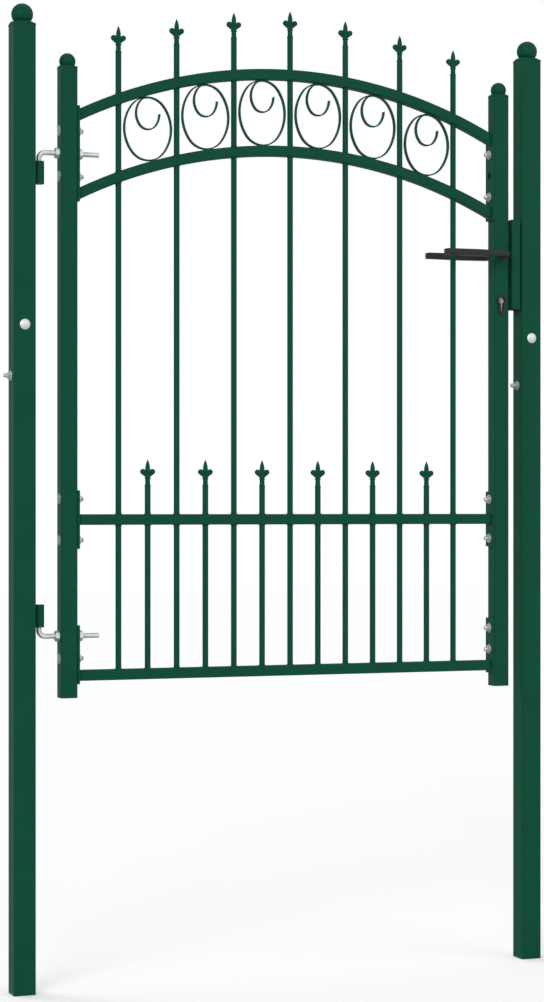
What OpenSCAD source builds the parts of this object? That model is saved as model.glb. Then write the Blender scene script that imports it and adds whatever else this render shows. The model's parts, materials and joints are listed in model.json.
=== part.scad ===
// Single-leaf garden fence gate: two posts, a bar-filled steel leaf and its ironwork.
// X runs along the gate from the hinge post, Y through it, Z up; the leaf opens towards +Y.
// The origin is the middle of the hinge post's foot.

/* [Posts] */
// Side of the square post tubes
post_size = 40; // [36:1:60]
// Wall of the post tubes
post_wall = 2; // [1.5:0.1:3]
// Outer corner radius of the post tubes
post_corner = 3; // [2.5:0.1:5]
// Length of the post tubes, with the part that stands in the ground
post_h = 1695; // [1675:1:1900]
// Diameter of the ball on a post
post_ball_d = 38.4; // [32:0.1:40]
// Height of the ball's centre over the post tube
post_ball_rise = 19.6; // [19:0.1:24]

/* [Leaf] */
// Width of the leaf over its stiles
leaf_w = 872; // [840:1:1000]
// Gap between the hinge post and the leaf
hinge_gap = 47; // [46:0.5:70]
// Gap between the leaf and the latch post
latch_gap = 25; // [22:0.5:40]
// Side of the square stile tubes
stile_size = 30; // [29:0.5:34]
// Wall of the stile tubes
stile_wall = 2; // [1.5:0.1:2.4]
// Outer corner radius of the stile tubes
stile_corner = 3; // [2.5:0.1:4]
// Height of the stiles' lower ends over the posts' feet
stile_bottom = 516; // [480:1:530]
// Height of the stile tubes' upper ends
stile_top = 1625; // [1600:1:1660]
// Diameter of the ball on a stile
stile_ball_d = 29; // [26:0.1:31]
// Height of the ball's centre over the stile tube
stile_ball_rise = 12.6; // [12:0.1:18]

/* [Rails and arches] */
// Side of the square rail tubes
rail_size = 19; // [18:0.5:22]
// Wall of the rail tubes
rail_wall = 1.5; // [1:0.1:2]
// Outer corner radius of the straight rails
rail_corner = 2; // [1.5:0.1:3]
// Height of the bottom rail's centre line
bottom_rail_z = 555; // [553:1:570]
// Height of the middle rail's centre line
middle_rail_z = 830; // [825:1:835]
// Height of the upper arch's crown
arch_crown_z = 1648.5; // [1640:0.5:1660]
// Outer radius of both arches
arch_r = 905; // [860:1:980]
// Height from the lower arch up to the upper one
arch_drop = 139; // [130:1:150]

/* [Bars and finials] */
// Diameter of the round bars
bar_d = 10.5; // [9:0.1:12]
// Gap from a side plate to the nearest bar's centre
bar_inset = 75; // [60:0.5:80]
// Height of the middle long bar's tip
long_tip_z = 1756; // [1740:1:1800]
// Height of the short bars' tips
short_tip_z = 937; // [920:1:1100]
// Width of a finial over its side leaves
finial_w = 27.6; // [24:0.1:32]
// Greatest thickness of a finial
finial_t = 8; // [6:0.1:10]

/* [Scrolls] */
// Gap between a scroll and the bars beside it
scroll_gap = 4.25; // [1:0.05:8]
// Width of a scroll's inner curl
curl_w = 46; // [36:1:52]
// Height of a scroll's inner curl
curl_h = 59; // [50:1:70]
// Thickness of the scroll strip
strip_t = 2.4; // [1.6:0.1:3]
// Width of the scroll strip
strip_w = 8; // [6:0.5:12]

/* [Side plates] */
// Thickness of the plates between rails and stiles
plate_t = 4; // [3:0.5:6]
// Length of the top plates
top_plate_l = 168.5; // [166:0.5:174]
// Length of the middle and bottom plates
small_plate_l = 103.5; // [100:0.5:110]
// Height of the top plates' centres
top_plate_z = 1475; // [1474:0.5:1477]
// Height of the bottom plates' centres
bottom_plate_z = 592; // [591:0.5:594]
// Spacing of the holes in the top and bottom plates
hole_pitch = 40; // [36:1:42]
// Spacing of the bolts in the middle plates
middle_bolt_pitch = 73; // [70:1:80]

/* [Bolts] */
// Diameter of all bolts
bolt_d = 8; // [6:0.5:9]
// Diameter of the domed bolt heads
head_d = 18.6; // [16:0.1:19]
// Height of the domed bolt heads
head_h = 3; // [2:0.1:4.5]
// Diameter of the washers
washer_d = 18; // [16:0.5:21]
// Thickness of the washers
washer_t = 1.6; // [1:0.1:2]
// Width across the nuts' flats
nut_flats = 13; // [12:0.5:15]
// Thickness of the nuts
nut_t = 4; // [3:0.5:6.5]
// Bolt end past its nut on the posts
post_bolt_end = 8.3; // [2:0.1:12]
// Bolt end past its nut on the side plates
plate_bolt_end = 4.8; // [2:0.1:7]
// Height of the posts' front bolts
front_bolt_z = 1171; // [1120:1:1200]
// Height of the posts' side bolts
side_bolt_z = 1082; // [1000:1:1090]

/* [Hinges] */
// Distance of the hinge axis from the post's face
hinge_out = 10; // [10:0.5:14]
// Diameter of the hinge sleeves
sleeve_d = 19; // [15:0.5:20]
// Length of the hinge sleeves
sleeve_l = 40; // [34:1:44]
// Closed end of a hinge sleeve
sleeve_floor = 2; // [1:0.5:3]
// Distance from a hook's shank to its sleeve's near end
sleeve_drop = 16; // [15:0.5:20]
// Diameter of the hinge hooks' round rod
hook_d = 9; // [8:0.1:9.5]
// Centre-line radius of a hook's bend
hook_bend = 11; // [9:0.5:11]
// End of a hook's shank past its side plate
hook_end = 38.5; // [30:0.5:45]
// Diameter of the holes for the hooks' shanks
hook_hole_d = 14; // [11:0.5:14]
// Width across the flats of the hooks' nuts
hook_nut_flats = 17; // [15:0.5:19]
// Thickness of the hooks' nuts
hook_nut_t = 8; // [5:0.5:9]

/* [Lock] */
// Height of the levers' spindle
spindle_z = 1325.5; // [1318:0.5:1326]
// Height from the cylinder up to the spindle
lock_pitch = 85; // [80:1:92]
// Height from the spindle up to the latch
latch_rise = 29.5; // [26:0.5:31]
// Height of the lock's faceplate
face_h = 210; // [206:1:220]
// Width of the lock's faceplate
face_w = 20; // [18:0.5:21]
// Thickness of the lock's case
case_t = 16; // [15:0.5:17]
// Height of the latch bolt
latch_h = 25; // [20:0.5:26]
// Thickness of the latch bolt
latch_t = 11.6; // [8:0.2:12]
// Latch bolt past the leaf's edge when at rest
latch_out = 12.5; // [11:0.5:13]
// Length of a lever from its spindle to its tip
lever_l = 128.6; // [110:1:130]
// Height of a lever's grip
lever_h = 12; // [10:0.5:14]
// Depth of a lever's grip, front to back
lever_t = 16; // [12:0.5:17]
// Distance of a lever's outer side from the stile
lever_out = 35.4; // [33:0.1:40]
// Side of the square spindle
spindle_side = 8; // [7:0.5:8]
// Height of the cylinder's covers over the stile
cover_t = 3; // [2:0.5:12]

/* [Keeper] */
// Height of the keeper on the latch post
keeper_h = 168.5; // [150:0.5:200]
// Height of the keeper's centre
keeper_z = 1309; // [1305:0.5:1312]
// Width of the keeper, front to back
keeper_w = 36; // [22:0.5:38]
// Wall of the keeper
keeper_wall = 2.5; // [2:0.1:3]
// Gap between the leaf's edge and the keeper
keeper_gap = 5; // [5:0.1:6]
// Gap between the keeper's front flange and the post
flange_gap = 3; // [0:0.5:6]

/* [Hidden] */
$fn = 96;
fit = 0.05;             // running clearance of a round shaft, on the radius
seat = 0.1;             // clearance of a piece in its hole, all round
tiny = 0.01;            // overshoot of a cut past a face

long_bars = 7;

leaf_x0 = post_size / 2 + hinge_gap;
leaf_x1 = leaf_x0 + leaf_w;
leaf_xc = (leaf_x0 + leaf_x1) / 2;
hinge_stile_x = leaf_x0 + stile_size / 2;
latch_stile_x = leaf_x1 - stile_size / 2;
post_gap_x = leaf_x1 + latch_gap;
latch_post_x = post_gap_x + post_size / 2;
plate_x0 = leaf_x0 + stile_size;
rail_x0 = plate_x0 + plate_t;
rail_x1 = leaf_x1 - stile_size - plate_t;
hinge_x = post_size / 2 + hinge_out;
bar_pitch = (rail_x1 - rail_x0 - 2 * bar_inset) / (2 * (long_bars - 1));
scroll_w = 2 * bar_pitch - bar_d - 2 * scroll_gap;

arch_z = arch_crown_z - arch_r;
lower_arch_z = arch_z - arch_drop;
arch_in_r = arch_r - rail_size;
bar_foot_z = bottom_rail_z - rail_size / 2 + rail_wall;

// Tips of the long bars fall away from the middle one in these steps.
tip_steps = [0, 10, 29, 49];

upper_hook_z = top_plate_z;
bottom_bolt_drop = 7;
bottom_bolt_z = bottom_plate_z - bottom_bolt_drop;
lower_hook_z = bottom_bolt_z + hole_pitch;
top_holes = [top_plate_z - hole_pitch, top_plate_z + hole_pitch];
middle_holes = [middle_rail_z - middle_bolt_pitch / 2, middle_rail_z + middle_bolt_pitch / 2];
plate_bolt_grip = stile_size + plate_t;
hook_nut_turn = -10;

// A finial's own proportions, measured down from its tip.
spear_l = 18;
spear_w = 7.4;
spear_t = 6;
tip_cut = 0.5;
side_leaf_r = 5;
side_leaf_z = -21.7;
leaf_t = 5;
leaf_angle = 51;
neck_d = 9;
bead_r = 1.2;
finial_h = 45;
collar_h = 2.5;
collar_rim = 0.3;

// A scroll oval's end radius as a share of its half width.
oval_end = 0.85;

// A cap's dome radius as a share of its side.
cap_dome = 1.25;

latch_z = spindle_z + latch_rise;
cylinder_z = spindle_z - lock_pitch;
keeper_x = leaf_x1 + keeper_gap;
face_z = (latch_z + cylinder_z) / 2;
dead_z = (spindle_z + cylinder_z) / 2;
dead_h = 24;
latch_throw = latch_out - 0.5;
case_x0 = leaf_x1 - stile_size + stile_wall + 0.5;
case_back = 1.5;
case_rim = 4;
hub_r = 8.5;
spindle_hole_d = 14;
spindle_in = 14;
neck_r = 7;
elbow_r = 20;
elbow_inset = 0.6;
grip_taper = 0.8;
root_taper = 2;
belly_x = 60;
lever_gap = 0.5;
profile_d = 17;
profile_w = 10;
profile_low = 24.5;
cover_rim = 2;
cylinder_recess = 5;
opening_d = 13;
opening_w = 6.6;
opening_low = 21;

// Bars stand at every step of the pitch; every second one, from the first, is long.
function bar_x(i) = leaf_xc + (i - (long_bars - 1)) * bar_pitch;
function long_bar_x(i) = bar_x(2 * i);

green = "#184b38";
zinc = "#c9ccce";
black = "#3a3838";
steel = "#a8abad";

// --- Shared shapes ---

module rounded_square(side, corner) {
    square([side - 2 * corner, side], center = true);
    square([side, side - 2 * corner], center = true);
    for (x = [-1, 1], y = [-1, 1])
        translate([x, y] * (side / 2 - corner))
            circle(r = corner);
}

// Inner corner radius of a tube.
function inner_corner(corner, wall) = max(corner - wall, 0.5);

// A square tube standing on z = 0.
module tube(side, wall, corner, length) {
    difference() {
        linear_extrude(length)
            rounded_square(side, corner);
        translate([0, 0, -tiny])
            linear_extrude(length + 2 * tiny)
                rounded_square(side - 2 * wall, inner_corner(corner, wall));
    }
}

// A hole right through along X, with its middle at height z.
module hole_x(z, d, length) {
    translate([0, 0, z])
        rotate([0, 90, 0])
            cylinder(d = d, h = length, center = true);
}

// A domed square cap with a ball, pushed into the end of a tube.
module ball_cap(side, wall, corner, ball_d, ball_rise) {
    lip = 0.6;
    lip_h = 1.3;
    dome_r = cap_dome * side;
    reach = (side / 2 + lip) * sqrt(2) - (corner + lip) * (sqrt(2) - 1);
    crown = lip_h + dome_r - sqrt(dome_r * dome_r - reach * reach);
    plug_h = 8;
    intersection() {
        linear_extrude(crown)
            rounded_square(side + 2 * lip, corner + lip);
        translate([0, 0, crown - dome_r])
            sphere(r = dome_r);
    }
    translate([0, 0, ball_rise])
        sphere(d = ball_d);
    translate([0, 0, -plug_h])
        linear_extrude(plug_h + tiny)
            rounded_square(side - 2 * wall - 2 * seat, inner_corner(corner, wall));
}

// A carriage bolt: its head's seat lies on z = 0 and its shank points up,
// through a grip to a washer and a nut.
module bolt(grip, end) {
    dome_r = (head_d * head_d / 4 + head_h * head_h) / (2 * head_h);
    intersection() {
        translate([0, 0, dome_r - head_h])
            sphere(r = dome_r);
        translate([0, 0, -head_h])
            cylinder(d = head_d, h = head_h);
    }
    cylinder(d = bolt_d, h = grip + washer_t + nut_t + end);
    translate([0, 0, grip])
        cylinder(d = washer_d, h = washer_t);
    translate([0, 0, grip + washer_t])
        nut(nut_flats, nut_t);
}

module nut(flats, t) {
    cylinder(d = flats / cos(30), h = t, $fn = 6);
}

// --- Posts ---

module post() {
    difference() {
        tube(post_size, post_wall, post_corner, post_h);
        hole_x(side_bolt_z, bolt_d + 2 * seat, post_size + 2 * tiny);
        rotate([0, 0, 90])
            hole_x(front_bolt_z, bolt_d + 2 * seat, post_size + 2 * tiny);
    }
}

module left_post() {
    color(green)
        post();
}

module right_post() {
    color(green)
        translate([latch_post_x, 0, 0])
            post();
}

module post_cap(x) {
    color(green)
        translate([x, 0, post_h])
            ball_cap(post_size, post_wall, post_corner, post_ball_d, post_ball_rise);
}

// One bolt through the post from front to back, and one from its right side to its left.
module post_bolts(x) {
    color(zinc)
        translate([x, 0, 0]) {
            translate([0, -post_size / 2, front_bolt_z])
                rotate([-90, 0, 0])
                    bolt(post_size, post_bolt_end);
            translate([post_size / 2, 0, side_bolt_z])
                rotate([0, -90, 0])
                    bolt(post_size, post_bolt_end);
        }
}

// A sleeve welded to the post, open at its top end and closed at the other.
module hinge_sleeve() {
    weld_w = 8;
    difference() {
        union() {
            cylinder(d = sleeve_d, h = sleeve_l);
            translate([-hinge_out, -weld_w / 2, 0])
                cube([hinge_out, weld_w, sleeve_l]);
        }
        translate([0, 0, sleeve_floor])
            cylinder(r = hook_d / 2 + fit, h = sleeve_l);
    }
}

module upper_hinge_sleeve() {
    color(green)
        translate([hinge_x, 0, upper_hook_z - sleeve_drop - sleeve_l])
            hinge_sleeve();
}

module lower_hinge_sleeve() {
    color(green)
        translate([hinge_x, 0, lower_hook_z + sleeve_drop + sleeve_l])
            mirror([0, 0, 1])
                hinge_sleeve();
}

// A bent steel channel welded to the latch post, with slots for the latch and the lock's bolt.
module keeper() {
    depth = post_gap_x - keeper_x;
    slot_clear = 1.2;
    color(green)
        translate([keeper_x, 0, 0])
            difference() {
                translate([0, -keeper_w / 2, keeper_z - keeper_h / 2])
                    cube([depth, keeper_w, keeper_h]);
                translate([keeper_wall, keeper_wall - keeper_w / 2, keeper_z - keeper_h / 2 - tiny])
                    cube([depth, keeper_w - 2 * keeper_wall, keeper_h + 2 * tiny]);
                translate([depth - flange_gap, -keeper_w / 2 - tiny, keeper_z - keeper_h / 2 - tiny])
                    cube([depth, keeper_w / 2, keeper_h + 2 * tiny]);
                keeper_slot(latch_z, latch_t / 2 + slot_clear, latch_h / 2 + slot_clear);
                keeper_slot(dead_z, latch_t / 2 + slot_clear, dead_h / 2 + slot_clear);
            }
}

module keeper_slot(z, half_w, half_h) {
    translate([-tiny, -half_w, z - half_h])
        cube([keeper_wall + 2 * tiny, 2 * half_w, 2 * half_h]);
}

// --- Leaf frame ---

module hinge_stile() {
    color(green)
        translate([hinge_stile_x, 0, 0])
            difference() {
                stile_tube();
                for (z = concat(top_holes, middle_holes, [bottom_bolt_z]))
                    hole_x(z, bolt_d + 2 * seat, stile_size + 2 * tiny);
                for (z = [upper_hook_z, lower_hook_z])
                    hole_x(z, hook_hole_d, stile_size + 2 * tiny);
            }
}

module stile_tube() {
    translate([0, 0, stile_bottom])
        tube(stile_size, stile_wall, stile_corner, stile_top - stile_bottom);
}

module latch_stile() {
    color(green)
        translate([latch_stile_x, 0, 0])
            difference() {
                stile_tube();
                for (z = concat(top_holes, middle_holes, [bottom_bolt_z, lower_hook_z]))
                    hole_x(z, bolt_d + 2 * seat, stile_size + 2 * tiny);
                hole_x(upper_hook_z, hook_hole_d, stile_size + 2 * tiny);
                translate([0, -face_w / 2 - seat, face_z - face_h / 2 - seat])
                    cube([stile_size, face_w + 2 * seat, face_h + 2 * seat]);
                translate([0, 0, spindle_z])
                    rotate([90, 0, 0])
                        cylinder(d = spindle_hole_d, h = stile_size + 2 * tiny, center = true);
                translate([0, 0, cylinder_z])
                    rotate([90, 0, 0])
                        linear_extrude(stile_size + 2 * tiny, center = true)
                            lock_profile(5 * seat);
            }
}

module stile_cap(x) {
    color(green)
        translate([x, 0, stile_top])
            ball_cap(stile_size, stile_wall, stile_corner, stile_ball_d, stile_ball_rise);
}

// A bent tube between the side plates, drilled for the long bars.
module arch(centre_z) {
    color(green)
        difference() {
            intersection() {
                translate([leaf_xc, 0, centre_z])
                    rotate([90, 0, 0])
                        rotate_extrude($fn = 720)
                            translate([arch_r - rail_size / 2, 0])
                                difference() {
                                    rounded_square(rail_size, rail_corner);
                                    rounded_square(rail_size - 2 * rail_wall, inner_corner(rail_corner, rail_wall));
                                }
                translate([rail_x0, -rail_size, centre_z])
                    cube([rail_x1 - rail_x0, 2 * rail_size, 2 * arch_r]);
            }
            for (i = [0:long_bars - 1])
                translate([long_bar_x(i), 0, centre_z])
                    cylinder(d = bar_d + 2 * seat, h = arch_r + rail_size);
        }
}

module rail(z) {
    translate([rail_x0, 0, z])
        rotate([90, 0, 90])
            tube(rail_size, rail_wall, rail_corner, rail_x1 - rail_x0);
}

// All bars pass through the middle rail.
module middle_rail() {
    color(green)
        difference() {
            rail(middle_rail_z);
            for (i = [0:2 * long_bars - 2])
                translate([bar_x(i), 0, middle_rail_z])
                    cylinder(d = bar_d + 2 * seat, h = 2 * rail_size, center = true);
        }
}

// The bars stand on the inside of the bottom rail's lower wall.
module bottom_rail() {
    color(green)
        difference() {
            rail(bottom_rail_z);
            for (i = [0:2 * long_bars - 2])
                translate([bar_x(i), 0, bottom_rail_z])
                    cylinder(d = bar_d + 2 * seat, h = rail_size);
        }
}

// --- Bars and scrolls ---

// A pointed oval of a half length along y and a half width along x.
module pointed_oval(half_l, half_w) {
    r = (half_l * half_l + half_w * half_w) / (2 * half_w);
    intersection() {
        translate([half_w - r, 0])
            circle(r = r);
        translate([r - half_w, 0])
            circle(r = r);
    }
}

// A cast spear leaf with two side leaves, hanging below its tip at the origin.
module finial() {
    side_x = finial_w / 2 - side_leaf_r;
    web_r = side_leaf_r - 0.5;
    edge_x = side_x + web_r * cos(leaf_angle);
    edge_z = side_leaf_z - web_r * sin(leaf_angle);
    foot_z = edge_z - (edge_x - neck_d / 2) / tan(leaf_angle);
    translate([0, 0, tip_cut - spear_l])
        intersection() {
            translate([0, 0, -tip_cut])
                cube(2 * spear_l, center = true);
            rotate([90, 0, 0])
                linear_extrude(2 * finial_t, center = true)
                    pointed_oval(spear_l, spear_w / 2);
            rotate([90, 0, 90])
                linear_extrude(2 * spear_w, center = true)
                    pointed_oval(spear_l, spear_t / 2);
        }
    for (x = [-side_x, side_x])
        translate([x, 0, side_leaf_z])
            rotate([90, 0, 0])
                side_leaf();
    rotate([90, 0, 0])
        linear_extrude(leaf_t, center = true)
            polygon([
                [0, side_leaf_z + side_leaf_r / 2],
                [side_x, side_leaf_z],
                [edge_x, edge_z],
                [neck_d / 2 - tiny, foot_z],
                [tiny - neck_d / 2, foot_z],
                [-edge_x, edge_z],
                [-side_x, side_leaf_z]
            ]);
    translate([0, 0, -finial_h])
        cylinder(d = neck_d, h = finial_h + edge_z);
    translate([0, 0, foot_z - 2 * bead_r])
        rotate_extrude()
            translate([neck_d / 2, 0])
                circle(r = bead_r);
}

// A side leaf is a thick disc with a round edge.
module side_leaf() {
    round_r = finial_t / 2 - 1;
    rotate_extrude()
        intersection() {
            translate([0, -side_leaf_r])
                square(2 * side_leaf_r);
            union() {
                translate([-side_leaf_r, -finial_t / 2])
                    square([2 * side_leaf_r - round_r, finial_t]);
                translate([-side_leaf_r, round_r - finial_t / 2])
                    square([2 * side_leaf_r, finial_t - 2 * round_r]);
                for (y = [-1, 1])
                    translate([side_leaf_r - round_r, y * (finial_t / 2 - round_r)])
                        circle(r = round_r);
            }
        }
}

module bar(x, tip_z) {
    color(green)
        translate([x, 0, 0]) {
            translate([0, 0, bar_foot_z])
                cylinder(d = bar_d, h = tip_z - finial_h - collar_h / 2 - bar_foot_z);
            translate([0, 0, tip_z - finial_h - collar_h])
                cylinder(d = bar_d + 2 * collar_rim, h = collar_h);
            translate([0, 0, tip_z])
                finial();
        }
}

module long_bar(i) {
    steps_out = abs(i - (long_bars - 1) / 2);
    bar(long_bar_x(i), long_tip_z - tip_steps[steps_out]);
}

module short_bar(i) {
    bar(bar_x(2 * i + 1), short_tip_z);
}

// An oval of four arcs, half_w wide on each side of its middle: two ends of radius r,
// whose centres lie a rise above and below the middle, and two long sides that join them.
// Its outline is moved outwards by grow.
module oval(half_w, rise, r, grow) {
    side_r = (half_w * half_w + rise * rise - r * r) / (2 * (half_w - r));
    meet_y = rise * (side_r + grow) / (side_r - r);
    for (y = [-rise, rise])
        translate([0, y])
            circle(r = r + grow);
    intersection() {
        translate([half_w - side_r, 0])
            circle(r = side_r + grow);
        translate([side_r - half_w, 0])
            circle(r = side_r + grow);
        square([4 * half_w, 2 * meet_y], center = true);
    }
}

// A strip bent into such an oval, w wide over its outside.
module oval_strip(w, rise) {
    half_w = (w - strip_t) / 2;
    difference() {
        oval(half_w, rise, half_w * oval_end, strip_t / 2);
        oval(half_w, rise, half_w * oval_end, -strip_t / 2);
    }
}

// The radius of such an oval's ends, over its outside.
function end_r(w) = (w - strip_t) / 2 * oval_end + strip_t / 2;

// A strip of steel rolled into an oval that touches both arches, and a curl inside it.
module scroll(x) {
    off = x - leaf_xc;
    high_z = arch_z + sqrt(pow(arch_in_r - seat - end_r(scroll_w), 2) - off * off);
    low_z = lower_arch_z + sqrt(pow(arch_r + seat + end_r(scroll_w), 2) - off * off);
    rise = (high_z - low_z) / 2;
    curl_rise = curl_h / 2 - end_r(curl_w);
    curl_y = rise + end_r(scroll_w) - strip_t / 4 - curl_h / 2;
    translate([x, 0, (high_z + low_z) / 2])
        rotate([90, 0, 0])
            linear_extrude(strip_w, center = true) {
                oval_strip(scroll_w, rise);
                translate([0, curl_y])
                    difference() {
                        oval_strip(curl_w, curl_rise);
                        square([curl_w, curl_h]);
                    }
            }
}

module scrolls() {
    color(green)
        for (i = [0:long_bars - 2])
            scroll(long_bar_x(i) + bar_pitch);
}

// --- Side plates ---

// A flat bar between the rails' ends and a stile, bolted to the stile.
module side_plate(x, z, length, bolt_holes, hook_holes) {
    translate([x + plate_t / 2, 0, 0])
        difference() {
            translate([-plate_t / 2, -stile_size / 2, z - length / 2])
                cube([plate_t, stile_size, length]);
            for (hole_z = bolt_holes)
                hole_x(hole_z, bolt_d + 2 * seat, plate_t + 2 * tiny);
            for (hole_z = hook_holes)
                hole_x(hole_z, hook_hole_d, plate_t + 2 * tiny);
        }
}

module hinge_side_plates() {
    color(green) {
        side_plate(plate_x0, top_plate_z, top_plate_l, top_holes, [upper_hook_z]);
        side_plate(plate_x0, middle_rail_z, small_plate_l, middle_holes, []);
        side_plate(plate_x0, bottom_plate_z, small_plate_l, [bottom_bolt_z], [lower_hook_z]);
    }
}

// The unused middle hole lets the gate be hung the other way round.
module latch_side_plates() {
    color(green) {
        side_plate(rail_x1, top_plate_z, top_plate_l, top_holes, [upper_hook_z]);
        side_plate(rail_x1, middle_rail_z, small_plate_l, middle_holes, []);
        side_plate(rail_x1, bottom_plate_z, small_plate_l, [bottom_bolt_z, lower_hook_z], []);
    }
}

module hinge_side_bolts() {
    color(zinc)
        for (z = concat(top_holes, middle_holes, [bottom_bolt_z]))
            translate([leaf_x0, 0, z])
                rotate([0, 90, 0])
                    bolt(plate_bolt_grip, plate_bolt_end);
}

module latch_side_bolts() {
    color(zinc)
        for (z = concat(top_holes, middle_holes, [bottom_bolt_z, lower_hook_z]))
            translate([leaf_x1, 0, z])
                rotate([0, -90, 0])
                    bolt(plate_bolt_grip, plate_bolt_end);
}

// --- Hinge hooks ---

// A round rod bent square: its leg turns in the sleeve, its shank clamps the stile.
module hinge_hook() {
    shank_end = rail_x0 + hook_end - hinge_x;
    leg_end = sleeve_drop + sleeve_l - sleeve_floor - 3 * seat;
    translate([0, 0, -leg_end])
        cylinder(d = hook_d, h = leg_end - hook_bend);
    translate([hook_bend, 0, -hook_bend])
        rotate([90, 0, 0])
            rotate([0, 0, 90])
                rotate_extrude(angle = 90)
                    translate([hook_bend, 0])
                        circle(d = hook_d);
    translate([hook_bend, 0, 0])
        rotate([0, 90, 0])
            cylinder(d = hook_d, h = shank_end - hook_bend);
}

module upper_hinge_hook() {
    color(zinc)
        translate([hinge_x, 0, upper_hook_z])
            hinge_hook();
}

module lower_hinge_hook() {
    color(zinc)
        translate([hinge_x, 0, lower_hook_z])
            mirror([0, 0, 1])
                hinge_hook();
}

// A nut on a hook's shank, standing on x = 0 and pointing to +X.
module hook_nut() {
    rotate([0, 90, 0])
        difference() {
            rotate([0, 0, hook_nut_turn])
                nut(hook_nut_flats, hook_nut_t);
            translate([0, 0, -tiny])
                cylinder(r = hook_d / 2 + fit, h = hook_nut_t + 2 * tiny);
        }
}

module hook_nuts() {
    color(zinc)
        for (z = [upper_hook_z, lower_hook_z]) {
            translate([leaf_x0, 0, z])
                mirror([1, 0, 0])
                    hook_nut();
            translate([rail_x0, 0, z])
                hook_nut();
        }
}

// --- Lock ---

// A profile cylinder's keyhole outline, grown by a clearance.
module lock_profile(clear) {
    circle(d = profile_d + 2 * clear);
    translate([-profile_w / 2 - clear, profile_w / 2 - profile_low])
        square([profile_w + 2 * clear, profile_low - profile_w / 2]);
    translate([0, profile_w / 2 - profile_low])
        circle(d = profile_w + 2 * clear);
}

// The case with its faceplate, set into the latch stile; its bolt is drawn in.
module lock_case() {
    case_x1 = leaf_x1 - stile_wall;
    color(steel)
        difference() {
            union() {
                translate([case_x0, -case_t / 2, cylinder_z - profile_low - case_rim])
                    cube([case_x1 - case_x0, case_t,
                        latch_z + latch_h / 2 - cylinder_z + profile_low + 2 * case_rim]);
                translate([case_x1, -face_w / 2, face_z - face_h / 2])
                    cube([stile_wall, face_w, face_h]);
                translate([case_x1, -latch_t / 2, dead_z - dead_h / 2])
                    cube([stile_wall + 1, latch_t, dead_h]);
            }
            translate([case_x0 + case_back, -latch_t / 2 - 2 * seat, latch_z - latch_h / 2 - 2 * seat])
                cube([stile_size, latch_t + 4 * seat, latch_h + 4 * seat]);
            translate([latch_stile_x, 0, spindle_z])
                rotate([90, 0, 0])
                    cylinder(r = hub_r + fit, h = case_t + 2 * tiny, center = true);
            translate([latch_stile_x, 0, cylinder_z])
                rotate([90, 0, 0])
                    linear_extrude(case_t + 2 * tiny, center = true)
                        lock_profile(seat);
        }
}

// The latch is bevelled on its front side and drawn in by the levers.
module latch_bolt() {
    tail_x = case_x0 + case_back + latch_throw + 5 * seat;
    color(steel)
        translate([0, 0, latch_z - latch_h / 2])
            linear_extrude(latch_h)
                polygon([
                    [tail_x, -latch_t / 2],
                    [leaf_x1 + 1, -latch_t / 2],
                    [leaf_x1 + latch_out, latch_t / 4],
                    [leaf_x1 + latch_out, latch_t / 2],
                    [tail_x, latch_t / 2]
                ]);
}

// The cylinder ends inside the stile, behind its covers; each end has a key slot.
module lock_cylinder() {
    length = stile_size - 2 * cylinder_recess;
    slot_t = 1.6;
    slot_h = 8;
    color(zinc)
        translate([latch_stile_x, 0, cylinder_z])
            rotate([90, 0, 0])
                difference() {
                    linear_extrude(length, center = true)
                        lock_profile(0);
                    for (side = [-1, 1])
                        translate([0, 0, side * length / 2])
                            cube([slot_t, slot_h, slot_h], center = true);
                }
}

// A cover is a cap round the cylinder's outline, with a collar down to the cylinder's end.
module cylinder_covers() {
    color(black)
        for (side = [-1, 1])
            translate([latch_stile_x, side * stile_size / 2, cylinder_z])
                mirror([0, side > 0 ? 1 : 0, 0])
                    rotate([90, 0, 0])
                        cylinder_cover();
}

module cylinder_cover() {
    difference() {
        union() {
            linear_extrude(cover_t)
                lock_profile(cover_rim);
            translate([0, 0, seat - cylinder_recess])
                linear_extrude(cylinder_recess)
                    lock_profile(0);
        }
        translate([0, 0, -cylinder_recess])
            linear_extrude(cylinder_recess + cover_t + tiny)
                cover_opening();
    }
}

module cover_opening() {
    circle(d = opening_d);
    translate([-opening_w / 2, opening_w / 2 - opening_low])
        square([opening_w, opening_low - opening_w / 2]);
    translate([0, opening_w / 2 - opening_low])
        circle(d = opening_w);
}

// The square spindle and the round hub that turns in the lock's case.
module spindle() {
    color(steel)
        translate([latch_stile_x, 0, spindle_z])
            rotate([90, 0, 0]) {
                cylinder(r = hub_r, h = case_t - 4 * seat, center = true);
                cube([spindle_side, spindle_side,
                    stile_size + 2 * (lever_gap + spindle_in)], center = true);
            }
}

// A lever on the +Y side: a round neck, a rounded elbow and a straight grip towards -X.
module lever() {
    difference() {
        union() {
            intersection() {
                linear_extrude(4 * neck_r, center = true)
                    lever_plan();
                rotate([90, 0, 0])
                    linear_extrude(4 * lever_out, center = true)
                        lever_side();
            }
            translate([0, lever_gap, 0])
                rotate([-90, 0, 0])
                    cylinder(r = neck_r, h = lever_out - lever_t - lever_gap);
        }
        translate([0, lever_gap + spindle_in / 2, 0])
            cube([spindle_side + 2 * fit, spindle_in + 2 * fit, spindle_side + 2 * fit],
                center = true);
    }
}

// The lever from above.
module lever_plan() {
    elbow_x = neck_r - elbow_inset - elbow_r;
    elbow_y = lever_out - elbow_r;
    translate([-lever_l, lever_out - lever_t])
        square([lever_l + elbow_x, lever_t]);
    intersection() {
        translate([elbow_x, elbow_y])
            circle(r = elbow_r);
        translate([elbow_x - tiny, elbow_y - tiny])
            square(2 * elbow_r);
    }
}

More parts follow.
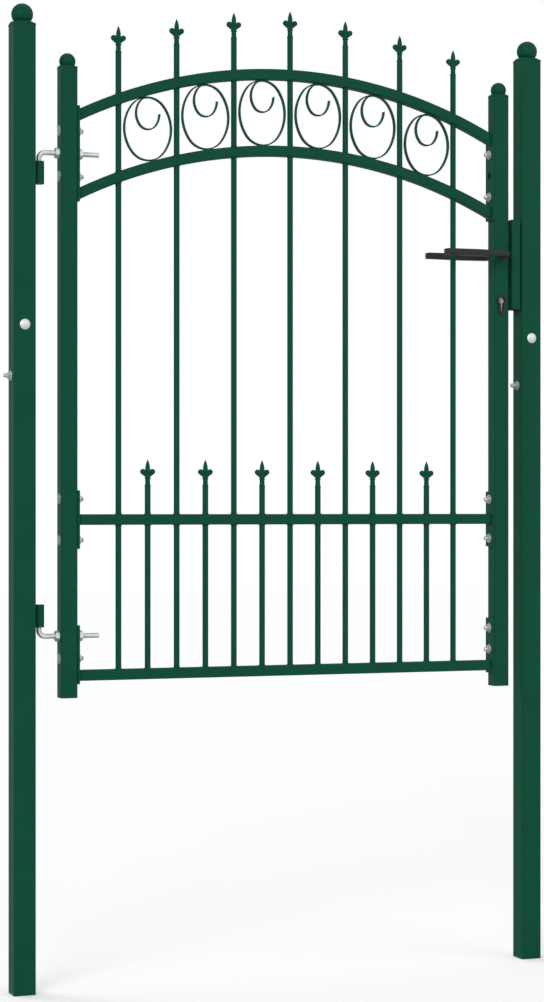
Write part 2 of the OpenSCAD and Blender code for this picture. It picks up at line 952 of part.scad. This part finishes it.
// The lever from the front: the grip is highest at its belly.
module lever_side() {
    tip = (lever_h - grip_taper) / 2;
    root = (lever_h - root_taper) / 2;
    polygon([
        [-lever_l, -tip],
        [-belly_x, -lever_h / 2],
        [neck_r, -root],
        [neck_r, root],
        [-belly_x, lever_h / 2],
        [-lever_l, tip]
    ]);
}

module front_lever() {
    color(black)
        translate([latch_stile_x, -stile_size / 2, spindle_z])
            mirror([0, 1, 0])
                lever();
}

module back_lever() {
    color(black)
        translate([latch_stile_x, stile_size / 2, spindle_z])
            lever();
}

// --- Nodes ---

left_post();
post_cap(0);  // left_post_cap
right_post();
post_cap(latch_post_x);  // right_post_cap
upper_hinge_sleeve();
lower_hinge_sleeve();
keeper();
post_bolts(0);  // left_post_bolts
post_bolts(latch_post_x);  // right_post_bolts
hinge_stile();
stile_cap(hinge_stile_x);  // hinge_stile_cap
latch_stile();
stile_cap(latch_stile_x);  // latch_stile_cap
arch(arch_z);  // top_arch
arch(lower_arch_z);  // lower_arch
middle_rail();
bottom_rail();
long_bar(0);  // long_bar_1
long_bar(1);  // long_bar_2
long_bar(2);  // long_bar_3
long_bar(3);  // long_bar_4
long_bar(4);  // long_bar_5
long_bar(5);  // long_bar_6
long_bar(6);  // long_bar_7
short_bar(0);  // short_bar_1
short_bar(1);  // short_bar_2
short_bar(2);  // short_bar_3
short_bar(3);  // short_bar_4
short_bar(4);  // short_bar_5
short_bar(5);  // short_bar_6
scrolls();
hinge_side_plates();
latch_side_plates();
upper_hinge_hook();
lower_hinge_hook();
hook_nuts();
hinge_side_bolts();
latch_side_bolts();
lock_case();
lock_cylinder();
cylinder_covers();
latch_bolt();
front_lever();
back_lever();
spindle();
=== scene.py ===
import json
import math
import bpy
import bmesh
from mathutils import Matrix, Vector


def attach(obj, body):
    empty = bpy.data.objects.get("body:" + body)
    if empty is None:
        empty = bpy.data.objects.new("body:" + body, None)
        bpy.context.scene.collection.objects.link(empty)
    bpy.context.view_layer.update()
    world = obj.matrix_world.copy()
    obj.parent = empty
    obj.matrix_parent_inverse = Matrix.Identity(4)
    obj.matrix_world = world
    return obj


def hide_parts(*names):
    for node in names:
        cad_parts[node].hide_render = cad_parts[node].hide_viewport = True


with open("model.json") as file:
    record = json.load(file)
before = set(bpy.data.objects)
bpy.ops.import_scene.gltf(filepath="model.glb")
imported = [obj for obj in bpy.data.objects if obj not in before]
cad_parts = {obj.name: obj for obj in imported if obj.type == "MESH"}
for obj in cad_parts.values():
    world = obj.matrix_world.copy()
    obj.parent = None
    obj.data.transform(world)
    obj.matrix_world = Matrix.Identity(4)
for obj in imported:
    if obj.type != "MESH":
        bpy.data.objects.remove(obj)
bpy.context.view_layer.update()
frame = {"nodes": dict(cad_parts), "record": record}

scene = bpy.context.scene
cad = frame["nodes"]

# --- Camera ---
# A level camera 4.1 m in front of the gate and 1.1 m to the hinge side of its post, turned
# towards the latch side. Its lens is long, and its shift is under a hundredth of the frame.
camera_yaw = 0.361878
film_mm, focal_mm = 36, 87.332695
frame_lift = 0.0071856287
lens = bpy.data.cameras.new("gate_camera")
lens.sensor_fit = "AUTO"
lens.sensor_width = film_mm
lens.lens = focal_mm
lens.shift_y = frame_lift
lens.clip_end = 60
camera = bpy.data.objects.new("gate_camera", lens)
camera.location = (-1.097622, -4.135276, 0.8501)
camera.rotation_euler = (math.pi / 2, 0, -camera_yaw)
scene.collection.objects.link(camera)
scene.camera = camera
scene.view_settings.view_transform = "Standard"


# --- Studio ---
# A matt white floor in a white room. Broad lamps light the gate evenly from the hinge side,
# the latch side and above, and a grey cloth hung behind it and laid out on the floor calms
# its reflections.
def linear(code):
    """An sRGB hex colour as linear RGBA."""
    parts = [int(code[i:i + 2], 16) / 255 for i in (1, 3, 5)]
    return [p / 12.92 if p <= 0.04045 else ((p + 0.055) / 1.055) ** 2.4 for p in parts] + [1]


def add(tree, kind, links=(), **settings):
    """Adds a node with its settings, and links each of its (input, node, output)."""
    node = tree.nodes.new(kind)
    for name, value in settings.items():
        if hasattr(node, name):
            setattr(node, name, value)
        else:
            node.inputs[name.replace("_", " ")].default_value = value
    for name, source, output in links:
        tree.links.new(source.outputs[output], node.inputs[name])
    return node


def new_tree(owner):
    """An empty node tree for a material or the world."""
    owner.use_nodes = True
    owner.node_tree.nodes.clear()
    return owner.node_tree


def seen_directly(tree):
    """1 for what the camera sees straight, in a reflection or through glass."""
    path = add(tree, "ShaderNodeLightPath")
    either = add(tree, "ShaderNodeMath", [(0, path, "Is Camera Ray"), (1, path, "Is Glossy Ray")],
                 operation="MAXIMUM")
    return add(tree, "ShaderNodeMath", [(0, either, 0), (1, path, "Is Transmission Ray")],
               operation="MAXIMUM")


room_light = 0.35
world = bpy.data.worlds.new("white_room")
scene.world = world
tree = new_tree(world)
strength = add(tree, "ShaderNodeMapRange", [("Value", seen_directly(tree), 0)],
               To_Min=room_light, To_Max=1.0)
room = add(tree, "ShaderNodeBackground", [("Strength", strength, 0)], Color=(1, 1, 1, 1))
add(tree, "ShaderNodeOutputWorld", [("Surface", room, 0)])


def flat_sheet(name, half_width, half_depth, place, turn, mat):
    """A flat rectangle of the studio, moved to its place."""
    bm = bmesh.new()
    bmesh.ops.create_grid(bm, x_segments=1, y_segments=1, size=1)
    bmesh.ops.scale(bm, vec=(half_width, half_depth, 1), verts=bm.verts)
    bmesh.ops.rotate(bm, cent=(0, 0, 0), matrix=Matrix.Rotation(turn, 3, "X"), verts=bm.verts)
    bmesh.ops.translate(bm, vec=place, verts=bm.verts)
    mesh = bpy.data.meshes.new(name)
    bm.to_mesh(mesh)
    bm.free()
    mesh.materials.append(mat)
    sheet = bpy.data.objects.new(name, mesh)
    scene.collection.objects.link(sheet)
    return sheet


white_paint = bpy.data.materials.new("matt_white_floor_paint")
tree = new_tree(white_paint)
paint = add(tree, "ShaderNodeBsdfDiffuse", Color=(0.8, 0.8, 0.8, 1), Roughness=0.0)
glow = add(tree, "ShaderNodeEmission", [("Strength", seen_directly(tree), 0)],
           Color=(0.27, 0.27, 0.27, 1))
both = add(tree, "ShaderNodeAddShader", [(0, paint, 0), (1, glow, 0)])
add(tree, "ShaderNodeOutputMaterial", [("Surface", both, 0)])
flat_sheet("floor", 20, 20, (0, 0, 0), 0, white_paint)

# The cloth shows only in reflections.
screen_cloth = bpy.data.materials.new("grey_screen_cloth")
tree = new_tree(screen_cloth)
cloth = add(tree, "ShaderNodeEmission", Color=(0.46, 0.46, 0.46, 1), Strength=1.0)
add(tree, "ShaderNodeOutputMaterial", [("Surface", cloth, 0)])
hung = flat_sheet("hung_grey_cloth", 9, 5, (-1, 3.2, 4.8), math.pi / 2, screen_cloth)
laid = flat_sheet("laid_grey_cloth", 9, 1.6, (-1, 1.6, 0.004), 0, screen_cloth)
for sheet in (hung, laid):
    for kind in ("camera", "diffuse", "transmission", "volume_scatter", "shadow"):
        setattr(sheet, "visible_" + kind, False)


def broad_lamp(name, place, spread, power, mirrored=True):
    """A lamp so far off that it lights the whole gate evenly, from the side of place.

    One that isn't mirrored stays out of the reflections.
    """
    data = bpy.data.lights.new(name, "SUN")
    data.angle = math.radians(spread)
    data.energy = power
    lamp = bpy.data.objects.new(name, data)
    lamp.location = place
    lamp.rotation_euler = Vector(place).to_track_quat("Z", "Y").to_euler()
    lamp.visible_glossy = mirrored
    scene.collection.objects.link(lamp)


broad_lamp("hinge_side_lamp", (-4.6, -6.0, 3.2), 30, 1.35)
broad_lamp("back_side_lamp", (-4.6, 6.0, 3.2), 30, 1.0, mirrored=False)
broad_lamp("latch_side_lamp", (4.0, -6.0, 3.2), 50, 0.65)
broad_lamp("top_lamp", (0.0, 4.0, 9.0), 50, 0.6)


# --- Green tubes and bars ---
# Steel tubes, bars and strips, welded up, shot-blasted and powder-coated in moss green.
# The baked powder is satin, with a faint orange peel and a slightly uneven film.
film_patch_mm = 60
# Noise values lie mostly between these two.
noise_spread = {"From_Min": 0.3, "From_Max": 0.7}


def powder_coat(name, colour, roughness, peel_mm):
    """Polyester powder coat: an even satin colour, soft highlights, a fine orange peel."""
    mat = bpy.data.materials.new(name)
    tree = new_tree(mat)
    place = add(tree, "ShaderNodeTexCoord")
    film = add(tree, "ShaderNodeTexNoise", [("Vector", place, "Object")],
               Scale=1000 / film_patch_mm, Detail=3.0)
    shade = add(tree, "ShaderNodeMapRange", [("Value", film, "Fac")],
                To_Min=0.94, To_Max=1.06, **noise_spread)
    tone = add(tree, "ShaderNodeHueSaturation", [("Value", shade, 0)], Color=linear(colour))
    gloss = add(tree, "ShaderNodeMapRange", [("Value", film, "Fac")],
                To_Min=roughness - 0.04, To_Max=roughness + 0.04, **noise_spread)
    peel = add(tree, "ShaderNodeTexNoise", [("Vector", place, "Object")],
               Scale=1000 / peel_mm, Detail=1.0)
    bump = add(tree, "ShaderNodeBump", [("Height", peel, "Fac")], Strength=0.12, Distance=0.0002)
    skin = add(tree, "ShaderNodeBsdfPrincipled",
               [("Base Color", tone, 0), ("Roughness", gloss, 0), ("Normal", bump, 0)],
               IOR=1.5, Specular_IOR_Level=0.07)
    add(tree, "ShaderNodeOutputMaterial", [("Surface", skin, 0)])
    return mat


moss_green = powder_coat("moss_green_powder_coat", "#074732", 0.42, 1.5)
green_nodes = [s["node"] for s in frame["record"]["subparts"]
               if s["material_slot"] == "green_powder_coat"]


def dress(names, mat):
    """Gives the named CAD nodes this material."""
    for name in names:
        cad[name].data.materials.clear()
        cad[name].data.materials.append(mat)


dress(green_nodes, moss_green)

# --- Zinc ---
# Bolts, nuts, washers and hinge hooks are turned or bent steel with a bright zinc plate.
# The plate is pale grey with a faint green tint, which is a painted reflection of the green frame
# round it; it shines softly, a little uneven from the bath.
def plated_metal(name, colour, roughness, patch_mm):
    """Plated or ground steel: a pale metal with a blurred shine, clouded in patches."""
    mat = bpy.data.materials.new(name)
    tree = new_tree(mat)
    place = add(tree, "ShaderNodeTexCoord")
    bath = add(tree, "ShaderNodeTexNoise", [("Vector", place, "Object")],
               Scale=1000 / patch_mm, Detail=4.0)
    shade = add(tree, "ShaderNodeMapRange", [("Value", bath, "Fac")],
                To_Min=0.9, To_Max=1.05, **noise_spread)
    tone = add(tree, "ShaderNodeHueSaturation", [("Value", shade, 0)], Color=linear(colour))
    gloss = add(tree, "ShaderNodeMapRange", [("Value", bath, "Fac")],
                To_Min=roughness - 0.07, To_Max=roughness + 0.07, **noise_spread)
    bump = add(tree, "ShaderNodeBump", [("Height", bath, "Fac")], Strength=0.1, Distance=0.0001)
    skin = add(tree, "ShaderNodeBsdfPrincipled",
               [("Base Color", tone, 0), ("Roughness", gloss, 0), ("Normal", bump, 0)],
               Metallic=1.0)
    add(tree, "ShaderNodeOutputMaterial", [("Surface", skin, 0)])
    return mat


# The zinc colour is tinted faintly green: a painted reflection of the green paint.
zinc_with_painted_green_reflection = plated_metal("bright_zinc_plate", "#c0c6c3", 0.56, 4)
mm = 0.001


def turned(bm, profile, steps=32):
    """Turns a profile of (radius, height) points in mm round the Z axis."""
    verts = [bm.verts.new((r * mm, 0, z * mm)) for r, z in profile]
    edges = [bm.edges.new(pair) for pair in zip(verts, verts[1:])]
    bmesh.ops.spin(bm, geom=verts + edges, cent=(0, 0, 0), axis=(0, 0, 1),
                   angle=2 * math.pi, steps=steps, use_merge=True)
    bmesh.ops.remove_doubles(bm, verts=bm.verts, dist=1e-6)


def put(bm, part, place):
    """Adds the bmesh part to bm, moved by a matrix, and frees it."""
    mesh = bpy.data.meshes.new("part")
    part.to_mesh(mesh)
    part.free()
    mesh.transform(place)
    bm.from_mesh(mesh)
    bpy.data.meshes.remove(mesh)


def finish_piece(name, bm, mat, body, replaced=()):
    """Makes the piece: faces outwards, smooth but for its edges, attached to its body, and with
    the CAD nodes that it replaces hidden.
    """
    bmesh.ops.recalc_face_normals(bm, faces=bm.faces)
    mesh = bpy.data.meshes.new(name)
    bm.to_mesh(mesh)
    bm.free()
    mesh.shade_smooth()
    mesh.set_sharp_from_angle(angle=math.radians(32))
    mesh.materials.append(mat)
    piece = bpy.data.objects.new(name, mesh)
    scene.collection.objects.link(piece)
    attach(piece, body)
    if replaced:
        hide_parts(*replaced)
    return piece


def thread(r, z0, z1, pitch=1.25, depth=0.7):
    """The profile of a threaded end, drawn as rings, with a chamfer at its tip."""
    tip = 1.0
    count = int((z1 - z0 - tip) / pitch * 2)
    rings = [(r - depth * (k % 2), z0 + k * pitch / 2) for k in range(count)]
    return rings + [(r - depth, z1 - tip), (r - 2 * depth, z1), (0, z1)]


def washer(bm, z, d=18.0, t=1.6, soft=0.4):
    """A flat washer lying on z, with softened edges; in mm."""
    turned(bm, [(0, z), (d / 2 - soft, z), (d / 2, z + soft), (d / 2, z + t - soft),
                (d / 2 - soft, z + t), (0, z + t)], 40)


def hex_nut(z, flats, t):
    """A turned blank with chamfered ends, cut to six flats."""
    part = bmesh.new()
    corner = flats / 2 / math.cos(math.pi / 6)
    face_r = flats / 2 * 0.95
    chamfer = (corner - face_r) * math.tan(math.pi / 6)
    turned(part, [(0, z), (face_r, z), (corner, z + chamfer), (corner, z + t - chamfer),
                  (face_r, z + t), (0, z + t)], 48)
    for k in range(6):
        side = Vector((math.cos(k * math.pi / 3), math.sin(k * math.pi / 3), 0))
        cut = bmesh.ops.bisect_plane(part, geom=part.verts[:] + part.edges[:] + part.faces[:],
                                     plane_co=side * flats / 2 * mm, plane_no=side,
                                     clear_outer=True)
        bmesh.ops.contextual_create(part, geom=[g for g in cut["geom_cut"]
                                                if isinstance(g, bmesh.types.BMEdge)])
    bmesh.ops.remove_doubles(part, verts=part.verts, dist=5e-6)
    return part


# --- Carriage bolts ---
# M8 bolts with a low domed head on the outside and a washer and a nut on the inside.
# They are cold-headed with a rolled thread, and all are bright zinc plated.
head_r, head_h, rim_h = 9.3, 3.0, 0.4
nut_flats, nut_t, washer_t = 13.0, 4.0, 1.6
shank_r, rim_gap, dome_steps = 4, 0.2, 10


def carriage_bolt(grip, end):
    """A bolt with its head's seat on z = 0 and its shank pointing up; all in mm."""
    dome_h = head_h - rim_h
    dome_r = (head_r ** 2 + dome_h ** 2) / (2 * dome_h)
    sweep = math.asin(head_r / dome_r)
    turns = [sweep * k / dome_steps for k in range(dome_steps + 1)]
    dome = [(dome_r * math.sin(a), dome_r - head_h - dome_r * math.cos(a)) for a in turns]
    nut_z = grip + washer_t
    nut_top = nut_z + nut_t
    shank = [(head_r, 0), (shank_r, 0), (shank_r, nut_top)]
    bolt = bmesh.new()
    turned(bolt, dome + shank + thread(shank_r, nut_top + rim_gap, nut_top + end))
    washer(bolt, grip)
    put(bolt, hex_nut(nut_z, nut_flats, nut_t), Matrix.Identity(4))
    return bolt


def facing(place, axis, turn):
    """Turns a piece about one axis by degrees and moves it to its place in mm."""
    return Matrix.Translation(Vector(place) * mm) @ Matrix.Rotation(math.radians(turn), 4, axis)


post_size, post_bolt_end = 40, 8.3
front_bolt_z, side_bolt_z = 1171, 1082
post_x = {"left": 0, "right": 984}
for side, x in post_x.items():
    bolts = bmesh.new()
    put(bolts, carriage_bolt(post_size, post_bolt_end),
        facing((x, -post_size / 2, front_bolt_z), "X", -90))
    put(bolts, carriage_bolt(post_size, post_bolt_end),
        facing((x + post_size / 2, 0, side_bolt_z), "Y", -90))
    finish_piece(side + "_post_carriage_bolts", bolts, zinc_with_painted_green_reflection, "posts",
                 [side + "_post_bolts"])

# These go through a stile and the plate welded to the leaf's frame. At the hinge side the
# lower hook takes the place of the last one.
plate_grip, plate_bolt_end = 34, 4.8
leaf_left, leaf_right = 67, 939
upper_hook_z, lower_hook_z = 1475, 625
plate_bolts = (1435, 1515, 793.5, 866.5, 585)
bolt_rows = {"hinge": (leaf_left, 90, plate_bolts),
             "latch": (leaf_right, -90, plate_bolts + (lower_hook_z,))}
for side, (x, turn, heights) in bolt_rows.items():
    bolts = bmesh.new()
    for z in heights:
        put(bolts, carriage_bolt(plate_grip, plate_bolt_end), facing((x, 0, z), "Y", turn))
    finish_piece(side + "_side_carriage_bolts", bolts, zinc_with_painted_green_reflection, "leaf",
                 [side + "_side_bolts"])

# --- Hinge hooks ---
# A steel rod bent square: its leg stands in the post's sleeve, and its threaded shank
# goes through the stile, where a large nut on each side clamps it. Zinc plated.
rod_r, bend_r, axis_x, shank_end, leg_end = 4.5, 11.0, 30.0, 139.5, 53.7
rod_chamfer, plain_shank = 0.8, 12
groove, groove_pitch, plain_tip, tip_taper = 0.9, 1.5, 2.5, 0.82


def hinge_hook():
    """The upper hook, with its bend's corner on the origin; in metres."""
    hook = bmesh.new()
    ring = bmesh.ops.create_circle(hook, cap_ends=True, segments=32,
                                   radius=(rod_r - rod_chamfer) * mm)
    face = hook.faces[:]
    bmesh.ops.translate(hook, vec=(0, 0, -leg_end * mm), verts=ring["verts"])

    def draw_out(step, scale=1.0):
        new = bmesh.ops.extrude_face_region(hook, geom=face)["geom"]
        verts = [g for g in new if isinstance(g, bmesh.types.BMVert)]
        bmesh.ops.delete(hook, geom=face, context="FACES_ONLY")
        bmesh.ops.translate(hook, vec=Vector(step) * mm, verts=verts)
        middle = sum((v.co for v in verts), Vector()) / len(verts)
        bmesh.ops.scale(hook, vec=(scale,) * 3, space=Matrix.Translation(-middle), verts=verts)
        face[:] = [g for g in new if isinstance(g, bmesh.types.BMFace)]

    draw_out((0, 0, rod_chamfer), rod_r / (rod_r - rod_chamfer))
    draw_out((0, 0, leg_end - rod_chamfer - bend_r))
    bent = bmesh.ops.spin(hook, geom=face, cent=Vector((bend_r, 0, -bend_r)) * mm, axis=(0, 1, 0),
                          angle=math.pi / 2, steps=16)
    bmesh.ops.delete(hook, geom=face, context="FACES_ONLY")
    face[:] = [g for g in bent["geom_last"] if isinstance(g, bmesh.types.BMFace)]
    draw_out((plain_shank, 0, 0))
    reach = bend_r + plain_shank
    while reach < shank_end - axis_x - plain_tip:
        for scale in (groove, 1 / groove):
            draw_out((groove_pitch / 2, 0, 0), scale)
        reach += groove_pitch
    draw_out((shank_end - axis_x - reach - rod_chamfer, 0, 0))
    draw_out((rod_chamfer, 0, 0), tip_taper)
    bmesh.ops.holes_fill(hook, edges=hook.edges)
    return hook


for name, z, flip in (("upper", upper_hook_z, 1), ("lower", lower_hook_z, -1)):
    hook = bmesh.new()
    put(hook, hinge_hook(), Matrix.Translation(Vector((axis_x, 0, z)) * mm)
        @ Matrix.Diagonal((1, 1, flip, 1)))
    finish_piece(name + "_hinge_rod", hook, zinc_with_painted_green_reflection, "leaf",
                 [name + "_hinge_hook"])

# Each nut stopped where it was tight, so their corners are turned differently.
hook_nut_flats, hook_nut_t = 17.0, 8.0
nuts = bmesh.new()
for z in (upper_hook_z, lower_hook_z):
    for x, turn, corner_turn in ((leaf_left, -90, 40), (leaf_left + plate_grip, 90, 20)):
        put(nuts, hex_nut(0, hook_nut_flats, hook_nut_t), facing((x, 0, z), "Y", turn)
            @ Matrix.Rotation(math.radians(corner_turn), 4, "Z"))
finish_piece("hinge_rod_nuts", nuts, zinc_with_painted_green_reflection, "leaf", ["hook_nuts"])

# --- Lock ---
# A mortise lock in a ground steel case, with two lever handles of black-coated cast metal
# and a plated profile cylinder that lies back inside two black plastic covers.
lock_steel = plated_metal("ground_lock_steel", "#a4a7a9", 0.36, 3)
satin_black = powder_coat("satin_black_coat", "#2e3231", 0.4, 1.2)
dress(["lock_case", "spindle"], lock_steel)
dress(["lock_cylinder", "latch_bolt"], zinc_with_painted_green_reflection)
dress(["cylinder_covers"], satin_black)

lock_x, spindle_z, cylinder_z = 924.0, 1325.5, 1240.5
stile_face, plug_face = 15, 10
grip_in, grip_out, elbow_r, inner_r = 19.4, 35.4, 20.0, 8.0
neck_r, neck_edge, neck_gap = 7.0, 0.6, 0.5
elbow_x, elbow_y = neck_r - neck_edge - elbow_r, grip_out - elbow_r
tip_x, belly_x = -128.6, -60.0
tip_half, belly_half, root_half = 5.6, 6.0, 5.0
grip_rounding = 1.3


def half_height(x):
    """Half the lever's height at x: it is highest at its belly."""
    if x < belly_x:
        return tip_half + (belly_half - tip_half) * (x - tip_x) / (belly_x - tip_x)
    return belly_half + (root_half - belly_half) * (x - belly_x) / (neck_r - belly_x)


def quarter_arc(x, y, r, start, end, steps=15):
    """Points on a circle round (x, y), from one angle to the other, clockwise from +Y."""
    turns = [math.radians(start + (end - start) * k / steps) for k in range(steps + 1)]
    return [(x + r * math.sin(a), y + r * math.cos(a)) for a in turns]


def lever_handle():
    """The back lever, with its spindle on the origin and the stile's face on y = 0."""
    lever = bmesh.new()
    outline = [(tip_x, grip_in), (tip_x, grip_out)]
    outline += quarter_arc(elbow_x, elbow_y, elbow_r, 0, 90)
    outline += quarter_arc(elbow_x, grip_in - inner_r, inner_r, 90, 0)
    under = lever.faces.new([lever.verts.new((x * mm, y * mm, -mm)) for x, y in outline])
    top = bmesh.ops.extrude_face_region(lever, geom=[under])["geom"]
    bmesh.ops.translate(lever, vec=(0, 0, 2 * mm),
                        verts=[g for g in top if isinstance(g, bmesh.types.BMVert)])
    bmesh.ops.bisect_plane(lever, geom=lever.verts[:] + lever.edges[:] + lever.faces[:],
                           plane_co=(belly_x * mm, 0, 0), plane_no=(1, 0, 0))
    for v in lever.verts:
        v.co.z = math.copysign(half_height(v.co.x / mm) * mm, v.co.z)
    bmesh.ops.recalc_face_normals(lever, faces=lever.faces)
    sharp = [e for e in lever.edges if e.calc_face_angle(0) > math.radians(40)]
    bmesh.ops.bevel(lever, geom=sharp, offset=grip_rounding * mm, offset_type="OFFSET",
                    segments=3, profile=0.5, affect="EDGES", material=-1)
    neck = bmesh.new()
    turned(neck, [(0, neck_gap), (neck_r - neck_edge, neck_gap), (neck_r, neck_gap + neck_edge),
                  (neck_r, grip_in - 1), (neck_r - 1, grip_in), (0, grip_in)], 40)
    put(lever, neck, facing((0, 0, 0), "X", -90))
    return lever


for name, body_side in (("front", -1), ("back", 1)):
    lever = bmesh.new()
    put(lever, lever_handle(),
        Matrix.Translation(Vector((lock_x, body_side * stile_face, spindle_z)) * mm)
        @ Matrix.Diagonal((1, body_side, 1, 1)))
    finish_piece(name + "_lever_handle", lever, satin_black, "levers",
                 [name + "_lever"])

# Each end of the cylinder shows its plug, a turned disc in a fine ring.
plugs = bmesh.new()
for body_side in (-1, 1):
    ring = bmesh.new()
    turned(ring, [(4.6, 0), (4.6, 0.5), (4.9, 0.7), (5.6, 0.7), (5.9, 0.5), (5.9, 0), (4.6, 0)],
           40)
    put(plugs, ring, facing((lock_x, body_side * plug_face, cylinder_z), "X", -90 * body_side))
finish_piece("cylinder_plug_rings", plugs, zinc_with_painted_green_reflection, "leaf")

# Two countersunk screws hold the faceplate.
faceplate_z, screw_reach = 1297.75, 95
screws = bmesh.new()
for z in (faceplate_z - screw_reach, faceplate_z + screw_reach):
    screw = bmesh.new()
    turned(screw, [(0, 0), (3.6, 0), (3.9, 0.3), (3.0, 0.5), (0, 0.55)], 32)
    put(screws, screw, facing((leaf_right, 0, z), "Y", 90))
finish_piece("faceplate_screws", screws, lock_steel, "leaf")

# --- Welds ---
# The frame is MIG welded before it is coated: a small ripple bead runs round each bar
# where it meets a rail, along the hinge sleeves and down the keeper.
bead, foot = 1.6, 0.2


def ripple_bead(length, r):
    """An upright bead of weld with a ripple every 2 mm, from z = 0 up; in mm."""
    run = bmesh.new()
    count = int(length)
    ripple = 0.14
    rings = [(r * (1 - ripple + ripple * (k % 2)), length * (k + 1) / (count + 2))
             for k in range(count + 1)]
    turned(run, [(0, 0)] + rings + [(0, length)], 10)
    return run


def bead_ring(bm, place, r, tilt=0.0):
    """A ring of weld round a bar at a rail's face, which may be sloping."""
    ring = bmesh.new()
    inside = r - 0.6
    turned(ring, [(inside, -bead), (r + foot, -bead), (r + bead, 0), (r + foot, bead),
                  (inside, bead), (inside, -bead)], 20)
    put(bm, ring, Matrix.Translation(Vector(place) * mm) @ Matrix.Rotation(tilt, 4, "Y")
        @ Matrix.Diagonal((1 / math.cos(tilt), 1, 1, 1)))


bars, bar_r, bar_pitch, rail_half = 13, 5.25, 54.5, 9.5
bottom_rail_z, middle_rail_z = 555, 830
crown_x, crown_z, arch_r, arch_drop = 503.0, 1648.5, 905.0, 139.0
bar_welds = bmesh.new()
for k in range(bars):
    off = (k - bars // 2) * bar_pitch
    x = crown_x + off
    for z in (bottom_rail_z + rail_half, middle_rail_z - rail_half, middle_rail_z + rail_half):
        bead_ring(bar_welds, (x, 0, z), bar_r)
    # Every other bar is a long one, which goes on up through both arches.
    if k % 2 == 0:
        for centre_z in (crown_z - arch_r, crown_z - arch_r - arch_drop):
            for r in (arch_r, arch_r - 2 * rail_half):
                rise = math.sqrt(r * r - off * off)
                bead_ring(bar_welds, (x, 0, centre_z + rise), bar_r, math.atan(off / rise))
finish_piece("bar_weld_beads", bar_welds, moss_green, "leaf")

# Two beads hold each sleeve along its whole length, and three hold the keeper's rear flange.
sleeve_l, sleeve_gap, sleeve_bead_x, sleeve_bead_y = 40, 16, 21, 4.5
keeper_bead_l, keeper_bead_x, keeper_bead_y = 35, 963, 18
keeper_bead_feet = (1229, 1291.5, 1354)
post_welds = bmesh.new()
for z in (upper_hook_z - sleeve_gap - sleeve_l, lower_hook_z + sleeve_gap):
    for y in (-sleeve_bead_y, sleeve_bead_y):
        put(post_welds, ripple_bead(sleeve_l, 2.2),
            Matrix.Translation(Vector((sleeve_bead_x, y, z)) * mm))
for z in keeper_bead_feet:
    put(post_welds, ripple_bead(keeper_bead_l, 2.0),
        Matrix.Translation(Vector((keeper_bead_x, keeper_bead_y, z)) * mm))
finish_piece("post_weld_beads", post_welds, moss_green, "posts")
